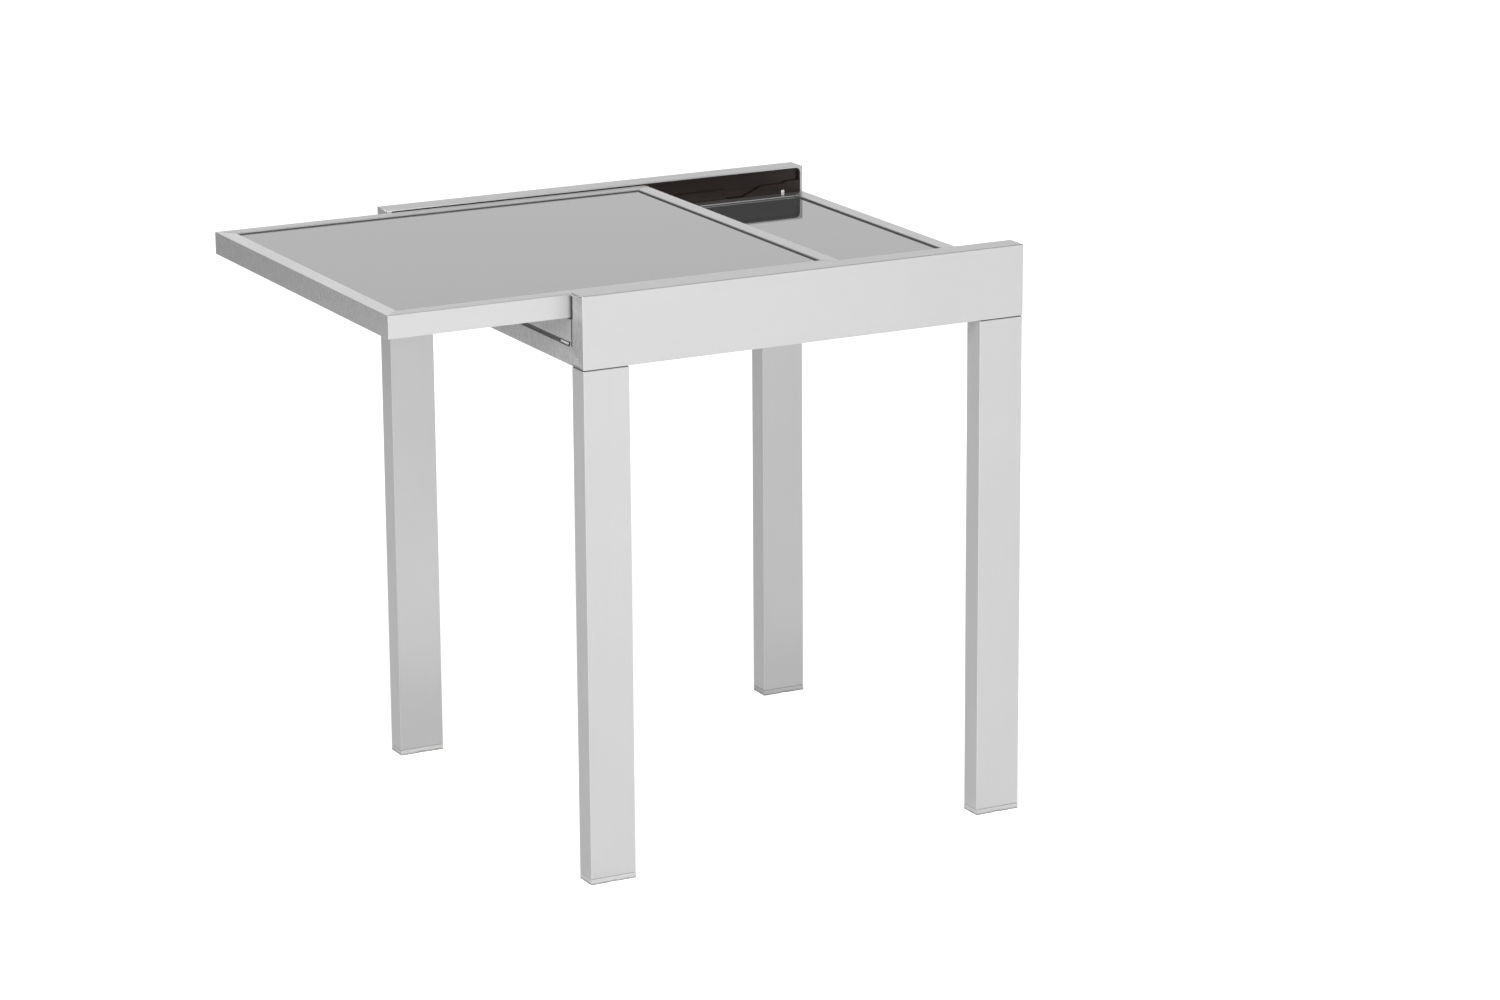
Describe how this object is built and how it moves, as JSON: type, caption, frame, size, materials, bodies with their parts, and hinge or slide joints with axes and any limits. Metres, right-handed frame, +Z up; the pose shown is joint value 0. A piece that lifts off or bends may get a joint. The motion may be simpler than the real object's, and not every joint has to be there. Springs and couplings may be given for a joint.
{
  "type": "extending balcony table",
  "caption": "Square aluminium balcony table with sliding dark glass leaves, one stowed under the other, between two deep side rails on flat tube legs.",
  "frame": {"origin": "on the floor, under the middle of the whole table as it stands, with the upper leaf pulled out", "axes": "+Z up; +X along the slide, away from the pulled-out upper leaf; -Y towards the front"},
  "size_m": [0.859, 0.618, 0.75],
  "materials": {
    "aluminium": "satin, fine lengthwise drawing lines",
    "glass": "dark grey, polished, looks opaque",
    "liner_plastic": "dark brown-black, moulded, slightly glossy",
    "black_plastic": "black, moulded",
    "grey_plastic": "light grey, moulded, fine grain",
    "glide_plastic": "pale grey, smooth",
    "seal": "black, soft",
    "steel": "bright plated",
    "cast_metal": "as cast"
  },
  "bodies": {
    "frame": {"side_rail_front": "aluminium", "side_rail_back": "aluminium", "rail_end_cap_front_left": "aluminium", "rail_end_cap_front_right": "aluminium", "rail_end_cap_back_left": "aluminium", "rail_end_cap_back_right": "aluminium", "crossbar_left": "aluminium", "crossbar_right": "aluminium", "leg_front_left": "aluminium", "leg_front_right": "aluminium", "leg_back_left": "aluminium", "leg_back_right": "aluminium", "leg_plug_front_left": "black_plastic", "leg_plug_front_right": "black_plastic", "leg_plug_back_left": "black_plastic", "leg_plug_back_right": "black_plastic", "leg_bolt_front_left": "steel", "leg_bolt_front_right": "steel", "leg_bolt_back_left": "steel", "leg_bolt_back_right": "steel", "foot_cap_front_left": "grey_plastic", "foot_cap_front_right": "grey_plastic", "foot_cap_back_left": "grey_plastic", "foot_cap_back_right": "grey_plastic", "guide_liner_front": "liner_plastic", "guide_liner_back": "liner_plastic", "liner_screw_front": "steel", "liner_screw_back": "steel", "rest_pad_front": "glide_plastic", "rest_pad_back": "glide_plastic"},
    "upper_leaf": {"upper_leaf_member_front": "aluminium", "upper_leaf_member_back": "aluminium", "upper_leaf_member_left": "aluminium", "upper_leaf_member_right": "aluminium", "upper_leaf_glass": "glass", "upper_leaf_glass_seal": "seal", "upper_leaf_corner_key_front_left": "cast_metal", "upper_leaf_corner_key_front_right": "cast_metal", "upper_leaf_corner_key_back_left": "cast_metal", "upper_leaf_corner_key_back_right": "cast_metal", "glide_shoe_front_middle": "glide_plastic", "glide_shoe_front_right": "glide_plastic", "glide_shoe_back_middle": "glide_plastic", "glide_shoe_back_right": "glide_plastic"},
    "lower_leaf": {"lower_leaf_member_front": "aluminium", "lower_leaf_member_back": "aluminium", "lower_leaf_member_left": "aluminium", "lower_leaf_member_right": "aluminium", "lower_leaf_glass": "glass", "lower_leaf_glass_seal": "seal", "lower_leaf_corner_key_front_left": "cast_metal", "lower_leaf_corner_key_front_right": "cast_metal", "lower_leaf_corner_key_back_left": "cast_metal", "lower_leaf_corner_key_back_right": "cast_metal", "guide_pin_front_left": "steel", "guide_pin_front_middle": "steel", "guide_pin_back_left": "steel", "guide_pin_back_middle": "steel", "leaf_pad_front": "glide_plastic", "leaf_pad_back": "glide_plastic"}
  },
  "joints": [
    {"name": "upper_leaf_slide", "type": "slide", "parent": "frame", "child": "upper_leaf", "axis": [1, 0, 0], "range_m": [-0.068, 0.241]},
    {"name": "lower_leaf_slide", "type": "slide", "parent": "frame", "child": "lower_leaf", "axis": [1, 0, 0], "range_m": [0, 0.216]}
  ]
}
